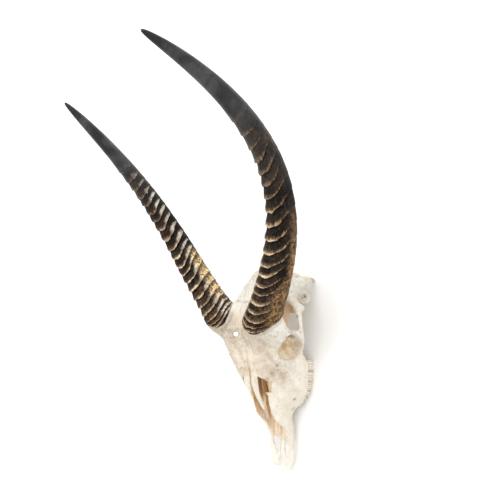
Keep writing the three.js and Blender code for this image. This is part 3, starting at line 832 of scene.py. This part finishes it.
def ridge_profile(share):
    """Height of a horn's surface from one crest, at 0, to the next, at 1: a slow fall, a notch, a lip."""
    fall = np.clip(1 - share / 0.84, 0, 1) ** 1.3
    notch = -0.34 * np.exp(-(((share - 0.88) / 0.05) ** 2))
    lip = ramp(0.9, 0.99, share)
    return fall + notch + lip


RIDGE_SHARES = [0, 0.03, 0.08, 0.15, 0.25, 0.36, 0.48, 0.6, 0.7, 0.78, 0.83, 0.87, 0.9, 0.93, 0.96, 0.985]
TIP_RINGS = 60


def horn_rings(ridges):
    """Distance along the front, ridge number and share of the way to the next ridge, for every ring."""
    first = min(ridges[0] - 2.5, -25)
    rings = [(first + k * (ridges[0] - first) / 5, 0, 0.99) for k in range(5)]
    ends = [*ridges[1:], ridges[-1] + 26]
    for k, (start, end) in enumerate(zip(ridges, ends)):
        rings.extend((start + share * (end - start), k, share) for share in RIDGE_SHARES)
    spread = np.linspace(0, 1, TIP_RINGS) ** 0.85
    rings.extend((ends[-1] + t * (HORN_LENGTH - 1.2 - ends[-1]), len(ridges), 1) for t in spread)
    return rings, ends[-1]


# The rings that turn the rim in to a shallow socket: distance in from the surface and up from the rim
SOCKET_RINGS = [(5.0, 8.0), (3.6, 2.0), (1.6, 0.1)]
RING_GAP = 0.25  # the least distance between two rings


def tube(rings, bottom, top):
    """Points and faces of a closed tube through rings of points, with a middle point at each end."""
    sides = len(rings[0])
    here = np.arange(sides)
    after = (here + 1) % sides
    rows = np.arange(len(rings) - 1)[:, None] * sides
    walls = np.stack([rows + here, rows + after, rows + sides + after, rows + sides + here], -1)
    last = (len(rings) - 1) * sides
    middle = np.full(sides, len(rings) * sides)
    low_end = np.stack([after, here, middle], 1)
    high_end = np.stack([last + here, last + after, middle + 1], 1)
    faces = [*walls.reshape(-1, 4).tolist(), *low_end.tolist(), *high_end.tolist()]
    return np.concatenate([*rings, [bottom], [top]]), faces


def turned_over(faces):
    return [face[::-1] for face in faces]


def horn_marks(arc, spot, degrees):
    """Marks for a ring of a horn: its smooth golden sides, its front, whose crests get painted light, and its
    bright inner side, whose crests get a painted sheen.
    """
    higher = ramp(80, 120, spot)
    smooth_side = ramp(32 + 30 * higher, 58 + 28 * higher, degrees) * ramp(178, 150, degrees)
    smooth_side = smooth_side * ramp(270, 150, spot)
    golden_inside = ramp(56, 84, -degrees) * ramp(20, 55, spot) * ramp(185, 140, spot)
    bright_inside = ramp(45, 70, -degrees) * ramp(150, 125, -degrees) * (0.5 + 0.5 * (arc < 330))
    return {
        "along": spot / HORN_LENGTH,
        "gold": np.maximum(smooth_side, golden_inside),
        # The front's crests are painted lighter, as the side that faces the light
        "front": ramp(30, -10, degrees) * ramp(-60, -25, degrees),
        "inner_side": bright_inside,
    }


def make_horn(name, ridges, rim, climbs, climb_lengths, mirror, seed):
    """One keratin sheath: rings of points along it, raised at its ridges and drawn out into fibres."""
    turn = np.arange(HORN_SIDES) / HORN_SIDES * 2 * np.pi
    degrees = (np.degrees(turn) + 180) % 360 - 180
    cosine, sine = np.cos(turn), np.sin(turn)

    def ring_noise(lumps, level, size, extra):
        return noise(cosine * lumps, sine * lumps, level, size, seed + extra)

    def ring(at, front, side, width):
        return at + front * (width * cosine)[:, None] + side * (width * sine)[:, None]

    strength = np.random.default_rng(seed).uniform(0.8, 1.15, len(ridges) + 1)
    climb, edge = around(turn, climbs), around(turn, rim)
    low_standing, high_standing = around(turn, STANDING), around(turn - STANDING_TURN, STANDING)
    _, _, front, side, radius = horn_line(edge)
    points = [ring(horn_line(edge + lift)[0], front, side, radius - inset) for inset, lift in SOCKET_RINGS]
    marks = {key: [np.zeros(HORN_SIDES)] * len(points) for key in ("crest", *horn_marks(0, edge, degrees))}

    rings, ridged_end = horn_rings(ridges)
    previous = edge - RING_GAP
    for order, (arc, k, share) in enumerate(rings):
        beyond = np.clip((arc - ridged_end) / (HORN_LENGTH - ridged_end), 0, 1)
        waver = 2.6 * ring_noise(3, k * 5.0, 1.1, 3) + 1.5 * ring_noise(9, k * 5.0, 1.1, 5)
        length = np.interp(arc, *np.transpose(climb_lengths))
        spot = arc + length * climb + waver * (1 - beyond) * min(1, order / 12)
        spot = np.clip(np.maximum(spot, previous + RING_GAP), edge, HORN_LENGTH - 1.0 + beyond * 0.4)
        previous = spot
        at, _, front, side, radius = horn_line(spot)

        standing = low_standing + (high_standing - low_standing) * ramp(90, 130, arc)
        ragged = 1 + 0.3 * ring_noise(10, k * 3.0, 1, 9)
        fade = 1 - 0.75 * np.clip(arc / 400, 0, 1) ** 4
        height = RIDGE_HEIGHT * strength[min(k, len(ridges))] * fade * standing * ragged
        if order <= 1:
            shape = 0.3
        elif k < len(ridges) - 1:
            shape = ridge_profile(share)
        else:
            shape = max(0, 1 - share / 0.8)
        fibre = 0.3 * ring_noise(22, arc / 30, 1, 15) * (0.4 + 0.6 * (arc < 330))
        fibre += 0.16 * ring_noise(44, arc / 14, 1, 17)
        width = radius + height * (shape - 0.75 * (1 - beyond)) + fibre * np.minimum(1, radius / 14)
        points.append(ring(at, front, side, np.maximum(width, 0.4)))
        # The crest mark sets the painted highlight on the crests and the painted shade in the grooves
        marks["crest"].append(shape * np.clip(standing * (1.1 - 0.3 * min(1, arc / 400) ** 6), 0, 1))
        for key, values in horn_marks(arc, spot, degrees).items():
            marks[key].append(values)

    vertices, faces = tube(points, points[0].mean(0), horn_line(HORN_LENGTH - 0.2)[0])
    if mirror:
        vertices = vertices * [-1, 1, 1]
        faces = turned_over(faces)
    horn = new_mesh(name + "_sheath", vertices, faces, {
        key: np.concatenate([*rows, [0.0, rows[-1].mean()]]) for key, rows in marks.items()
    })
    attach(horn, "root")
    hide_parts(name)
    return horn


CROWN_SIDES = 96
ROOT_Z = 13.0
# The rings of a crown from its root down to its bite and in to the middle: height and share of its section
CROWN_RINGS = [
    (ROOT_Z, 0.9), (8, 0.93), (4, 0.95), (0, 0.97), (-3, 0.98), (-6, 0.99), (-9, 1.0), (-12, 0.99),
    (BITE_Z + 0.9, 0.97), (BITE_Z + 0.2, 0.93), (BITE_Z, 0.89), (BITE_Z, 0.8),
    (BITE_Z + 1.2, 0.7), (BITE_Z + 1.5, 0.45), (BITE_Z + 0.5, 0.34), (BITE_Z + 0.9, 0.2),
]


def crown_outline(length, width, lobes):
    """The section of a cheek tooth: upright styles on the cheek side, round lobes on the tongue side."""
    turn = (np.arange(CROWN_SIDES) + 0.5) / CROWN_SIDES * 2 * np.pi
    cosine, sine = np.cos(turn), np.sin(turn)
    square = np.maximum(np.abs(cosine), np.abs(sine)) ** 0.88
    px = width / 2 * cosine / square
    py = length / 2 * sine / square
    px, py = np.clip(px, -width / 2, width / 2), np.clip(py, -length / 2, length / 2)
    phase = (py / length + 0.5) * lobes
    cheek = cosine > 0
    dents = 0.5 - 0.5 * np.cos(4 * np.pi * phase)
    px = np.where(cheek, px - 1.9 * dents * ramp(0.1, 0.5, cosine), px)
    pinch = np.abs(np.cos(np.pi * (phase % 1))) ** 3
    px = np.where(cheek, px, px + 2.4 * pinch * np.abs(cosine))
    return px, py


def make_tooth(name, x, y, length, width, lobes, shorter, mirror, seed):
    """A worn crown whose section stands on the bite plane and runs up into the jaw."""
    px, py = crown_outline(length, width, lobes)
    rings = []
    for height, scale in CROWN_RINGS:
        wear = 0.16 * noise(px * 2, py * 2, height, 2.2, seed) * (BITE_Z + 1 < height)
        level = height + shorter * ramp(6, BITE_Z, height)
        ring_x = px * scale * (1 + wear / width * 2)
        ring_y = py * min(1, scale + 0.03)
        rings.append(np.stack([ring_x, ring_y, np.full(CROWN_SIDES, level)], 1))
    vertices, faces = tube(rings, [0, 0, ROOT_Z], [0, 0, BITE_Z + 1.1 + shorter])
    vertices = vertices + [x, y, 0]
    if mirror:
        vertices = vertices * [-1, 1, 1]
    else:
        faces = turned_over(faces)
    # Painted shade in the dents between the styles on the cheek side of the crown
    dent_shade = np.tile(ramp(width / 2 - 0.5, width / 2 - 2.0, px) * (px > 0), len(rings))
    tooth = new_mesh(name + "_crown", vertices, faces, {"dent_shade": np.concatenate([dent_shade, [0, 1]])})
    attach(tooth, "root")
    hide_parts(name)
    return tooth


class Shader:
    """A node material with short ways to add its parts: numbers, colours and outputs feed its inputs."""

    def __init__(self, name):
        self.material = bpy.data.materials.new(name)
        self.material.use_nodes = True
        self.tree = self.material.node_tree
        self.surface = self.tree.nodes["Principled BSDF"]
        self.position = self.tree.nodes.new("ShaderNodeTexCoord").outputs["Object"]

    def give(self, socket, value):
        if isinstance(value, bpy.types.NodeSocket):
            self.tree.links.new(value, socket)
        elif socket.type == "RGBA":
            socket.default_value = (*value, 1)
        else:
            socket.default_value = value

    def node(self, kind, inputs):
        node = self.tree.nodes.new("ShaderNode" + kind)
        for key, value in inputs.items():
            self.give(node.inputs[key], value)
        return node

    def attribute(self, name):
        node = self.node("Attribute", {})
        node.attribute_name = name
        return node.outputs["Fac"]

    def noise(self, scale, detail, roughness, stretch=(1, 1, 1), turn=(0, 0, 0), distortion=0):
        place = self.node("Mapping", {"Vector": self.position, "Scale": stretch, "Rotation": turn}).outputs[0]
        sizes = {"Scale": scale, "Detail": detail, "Roughness": roughness, "Distortion": distortion}
        return self.node("TexNoise", {"Vector": place, **sizes}).outputs["Fac"]

    def span(self, value, low, high, to_low=0, to_high=1):
        """A number that goes smoothly from to_low to to_high while value goes from low to high."""
        ends = {"From Min": low, "From Max": high, "To Min": to_low, "To Max": to_high}
        node = self.node("MapRange", {"Value": value, **ends})
        node.interpolation_type = "SMOOTHSTEP"
        return node.outputs["Result"]

    def maths(self, operation, a, b):
        node = self.node("Math", {0: a, 1: b})
        node.operation = operation
        return node.outputs[0]

    def times(self, a, b):
        return self.maths("MULTIPLY", a, b)

    def mix(self, share, a, b):
        node = self.node("Mix", {})
        node.data_type = "RGBA"
        for key, value in ((0, share), (6, a), (7, b)):
            self.give(node.inputs[key], value)
        return node.outputs[2]

    def bump(self, height, strength, distance, before=None):
        node = self.node("Bump", {"Strength": strength, "Distance": distance, "Height": height})
        if before:
            self.give(node.inputs["Normal"], before)
        return node.outputs["Normal"]

    def finish(self, colour, roughness, normal=None):
        self.give(self.surface.inputs["Base Color"], colour)
        self.give(self.surface.inputs["Roughness"], roughness)
        if normal:
            self.give(self.surface.inputs["Normal"], normal)
        return self.material


def bone_material():
    shader = Shader("dry_bone")
    mix, span, times = shader.mix, shader.span, shader.times
    patches = shader.noise(16, 5, 0.6)
    blotches = shader.noise(55, 5, 0.65, distortion=0.6)
    grain = shader.noise(330, 4, 0.75)
    lumps = shader.noise(150, 4, 0.6, distortion=0.5)
    rugged = shader.attribute("rugged")
    cream = mix(span(patches, 0.4, 0.66), (0.92, 0.88, 0.79), (0.83, 0.76, 0.64))
    # The beige is partly the brow's own tone and partly painted shade on upward-facing bone
    beige_shade_colour = mix(span(blotches, 0.36, 0.66), (0.85, 0.77, 0.63), (0.66, 0.54, 0.41))
    colour = mix(shader.attribute("beige_top_shade"), cream, beige_shade_colour)
    colour = mix(span(blotches, 0.52, 0.72, 0, 0.4), colour, (0.62, 0.5, 0.36))
    colour = mix(span(grain, 0.5, 0.72, 0, 0.5), colour, (0.46, 0.38, 0.29))
    # Painted shade in the low places of the lumps on rugged bone
    dip_shade = times(span(lumps, 0.46, 0.34, 0, 0.45), rugged)
    colour = mix(dip_shade, colour, (0.58, 0.46, 0.33))
    cracks = span(shader.noise(95, 3, 0.6, stretch=(1, 0.4, 1), distortion=1.5), 0.47, 0.5)
    cracks = times(cracks, span(cracks, 1, 0.4, 0, 1))
    colour = mix(times(cracks, 0.4), colour, (0.42, 0.32, 0.22))
    streaks = shader.noise(150, 3, 0.6, stretch=(1, 0.12, 1))
    tan = mix(span(streaks, 0.35, 0.65), (0.93, 0.74, 0.5), (0.68, 0.4, 0.15))
    ochre = mix(span(blotches, 0.43, 0.57), (1.0, 0.94, 0.76), (0.93, 0.66, 0.36))
    grey = mix(span(grain, 0.35, 0.65), (0.34, 0.31, 0.27), (0.6, 0.55, 0.47))
    for mark, share, tint in (
        # The fossa tint is painted shade in the temporal fossa
        ("inner", 1.0, tan), ("socket", 0.95, ochre), ("fossa_shade", 0.7, (0.66, 0.42, 0.22)), ("neck", 0.5, grey),
        # The pit tint is painted shade in pits and hollows
        ("seam", 0.38, (0.34, 0.23, 0.14)), ("pit_shade", 0.4, (0.48, 0.35, 0.22)),
        # Brown stains, partly painted shade
        ("stain_and_shade", 1.0, (0.26, 0.13, 0.06)),
    ):
        colour = mix(times(shader.attribute(mark), share), colour, tint)
    pores = span(shader.noise(900, 2, 0.5), 0.34, 0.5)
    normal = shader.bump(pores, 0.2, 0.0004)
    normal = shader.bump(grain, 0.7, 0.0014, normal)
    normal = shader.bump(times(lumps, rugged), 1.0, 0.006, normal)
    normal = shader.bump(blotches, 0.7, 0.004, normal)
    return shader.finish(colour, span(patches, 0.3, 0.7, 0.5, 0.7), normal)


def horn_material():
    shader = Shader("ringed_keratin")
    mix, span, times = shader.mix, shader.span, shader.times
    crest, along = shader.attribute("crest"), shader.attribute("along")
    fibres = shader.noise(420, 4, 0.7, stretch=(1, 0.3, 0.3), turn=(0.5, 0, 0))
    clouds = shader.noise(38, 4, 0.6, distortion=0.8)
    flecks = shader.noise(170, 4, 0.7, distortion=1.2)
    ridged = span(along, 0.7, 0.84, 1, 0)
    black = mix(span(clouds, 0.4, 0.7), (0.004, 0.003, 0.0025), (0.022, 0.015, 0.01))
    russet = mix(span(flecks, 0.4, 0.64), (0.02, 0.011, 0.006), (0.16, 0.095, 0.05))
    low = times(span(along, 0.06, 0.26, 0.9, 0.1), span(clouds, 0.35, 0.6))
    dark = mix(low, black, russet)
    brown = mix(span(fibres, 0.38, 0.62), (0.04, 0.022, 0.012), (0.34, 0.21, 0.115))
    # Crests, more so on the front, are brown and the grooves black: partly worn keratin, partly painted
    # highlight on crests and painted shade in grooves
    crest_light = shader.maths("ADD", crest, times(shader.attribute("front"), 0.2))
    share = times(span(crest_light, 0.6, 1.0), ridged)
    share = times(share, span(along, 0.42, 0.66, 1, 0.55))
    speckle = times(span(flecks, 0.52, 0.78, 0, 0.4), ridged)
    colour = mix(shader.maths("MAXIMUM", times(share, 0.9), speckle), dark, brown)
    # Cream lips on the highest crests are painted highlight
    lip = mix(span(flecks, 0.4, 0.62), (0.44, 0.29, 0.16), (0.9, 0.74, 0.52))
    lit = shader.maths("ADD", crest_light, times(fibres, 0.35))
    highlight_share = times(span(lit, 1.1, 1.32), span(along, 0.36, 0.56, 1, 0.12))
    highlight_share = times(highlight_share, span(along, 0.0, 0.2, 0.55, 1))
    colour = mix(times(highlight_share, ridged), colour, lip)
    umber = mix(span(flecks, 0.38, 0.64), (0.06, 0.03, 0.012), (0.36, 0.22, 0.1))
    yellow = mix(span(flecks, 0.42, 0.56), (0.2, 0.11, 0.04), (0.88, 0.67, 0.36))
    inner_side = shader.attribute("inner_side")
    # Silver on the inner side's crests is painted sheen
    silver_sheen = mix(span(flecks, 0.4, 0.6), (0.34, 0.27, 0.2), (0.82, 0.75, 0.64))
    shine = times(inner_side, span(crest, 0.3, 0.62, 0, 0.9))
    colour = mix(times(shine, ridged), colour, silver_sheen)
    patch = times(shader.attribute("gold"), span(clouds, 0.3, 0.5, 0.35, 1))
    # Painted shade: the golden patch is kept out of the inner side's grooves
    gaps = times(inner_side, span(crest, 0.05, 0.4, 0.6, 0))
    patch = times(patch, shader.maths("SUBTRACT", 1.0, gaps))
    colour = mix(patch, colour, mix(inner_side, umber, yellow))
    # The tip is near black with lighter blue-grey patches, which are painted sheen
    sheen_patches = shader.noise(20, 4, 0.6, distortion=1.0)
    tip = mix(span(sheen_patches, 0.36, 0.66), (0.005, 0.005, 0.005), (0.055, 0.056, 0.058))
    colour = mix(span(along, 0.7, 0.84), colour, tip)
    shader.give(shader.surface.inputs["Specular IOR Level"], span(along, 0.45, 0.8, 0.12, 0.4))
    normal = shader.bump(fibres, 0.5, 0.0007)
    normal = shader.bump(flecks, 0.3, 0.001, normal)
    return shader.finish(colour, span(along, 0.5, 0.75, 0.6, 0.28), normal)


def tooth_material():
    shader = Shader("worn_enamel")
    mix, span, times = shader.mix, shader.span, shader.times
    stripes = shader.noise(420, 3, 0.6, stretch=(1, 1, 0.12))
    stains = shader.noise(160, 3, 0.6)
    colour = mix(span(stripes, 0.4, 0.65), (0.9, 0.86, 0.76), (0.78, 0.68, 0.53))
    colour = mix(span(stains, 0.58, 0.72, 0, 0.5), colour, (0.4, 0.27, 0.15))
    # Painted shade in the crown's dents
    colour = mix(times(shader.attribute("dent_shade"), 0.55), colour, (0.5, 0.4, 0.29))
    return shader.finish(colour, 0.32, shader.bump(stripes, 0.3, 0.0004))


# The camera of the photograph: where it stands and how it is turned, in the animal's axes
EYE = (485.09, 264.27, 637.95)
RIGHT = Vector((0.698, 0.0846, -0.711))
UP = Vector((0.0993, 0.972, 0.2131))
LENS = 27.72
SENSOR = 36.0
SHIFT = (0.0114, -0.0044)


def add_camera():
    data = bpy.data.cameras.new("camera")
    data.lens = LENS
    data.sensor_width = SENSOR
    data.shift_x, data.shift_y = SHIFT
    data.clip_end = 50
    camera = bpy.data.objects.new("camera", data)
    right = RIGHT.normalized()
    up = (UP - UP.dot(right) * right).normalized()
    back = right.cross(up)
    turn = Matrix((right, up, back)).transposed()
    camera.matrix_world = Matrix.Translation(Vector(place([EYE])[0])) @ turn.to_4x4()
    scene.collection.objects.link(camera)
    scene.camera = camera


FLOOR_REACH = 40.0
SUN_DIRECTION = (0.2, 0.45, 1.0)
SUN_STRENGTH = 1.2
SUN_SOFTNESS = 0.6


def add_stage():
    """A pale floor, even light from everywhere and one soft sun."""
    reach = FLOOR_REACH
    corners = [(-reach, -reach, 0), (reach, -reach, 0), (reach, reach, 0), (-reach, reach, 0)]
    mesh = bpy.data.meshes.new("floor")
    mesh.from_pydata(corners, [], [(0, 1, 2, 3)])
    floor = bpy.data.objects.new("floor", mesh)
    floor.data.materials.append(Shader("pale_floor").finish((0.96, 0.96, 0.955), 0.9))
    scene.collection.objects.link(floor)
    world = bpy.data.worlds.new("studio")
    world.use_nodes = True
    background = world.node_tree.nodes["Background"]
    background.inputs["Color"].default_value = (1, 1, 1, 1)
    background.inputs["Strength"].default_value = 1.0
    scene.world = world
    data = bpy.data.lights.new("sun", "SUN")
    data.energy = SUN_STRENGTH
    data.angle = SUN_SOFTNESS
    light = bpy.data.objects.new("sun", data)
    light.rotation_euler = Vector(SUN_DIRECTION).to_track_quat("Z", "Y").to_euler()
    scene.collection.objects.link(light)


bone_look, horn_look, tooth_look = bone_material(), horn_material(), tooth_material()
make_skull().data.materials.append(bone_look)
left_lines = (LEFT_RIDGES, LEFT_RIM, LEFT_CLIMB, LEFT_CLIMB_LENGTH)
right_lines = (RIGHT_RIDGES, RIGHT_RIM, RIGHT_CLIMB, RIGHT_CLIMB_LENGTH)
make_horn("horn_left", *left_lines, False, 101).data.materials.append(horn_look)
make_horn("horn_right", *right_lines, True, 211).data.materials.append(horn_look)
for order, (tooth_name, *sizes) in enumerate(TEETH):
    make_tooth(tooth_name + "_left", *sizes, False, 300 + order).data.materials.append(tooth_look)
    make_tooth(tooth_name + "_right", *sizes, True, 400 + order).data.materials.append(tooth_look)
add_camera()
add_stage()
scene.view_settings.view_transform = "Standard"
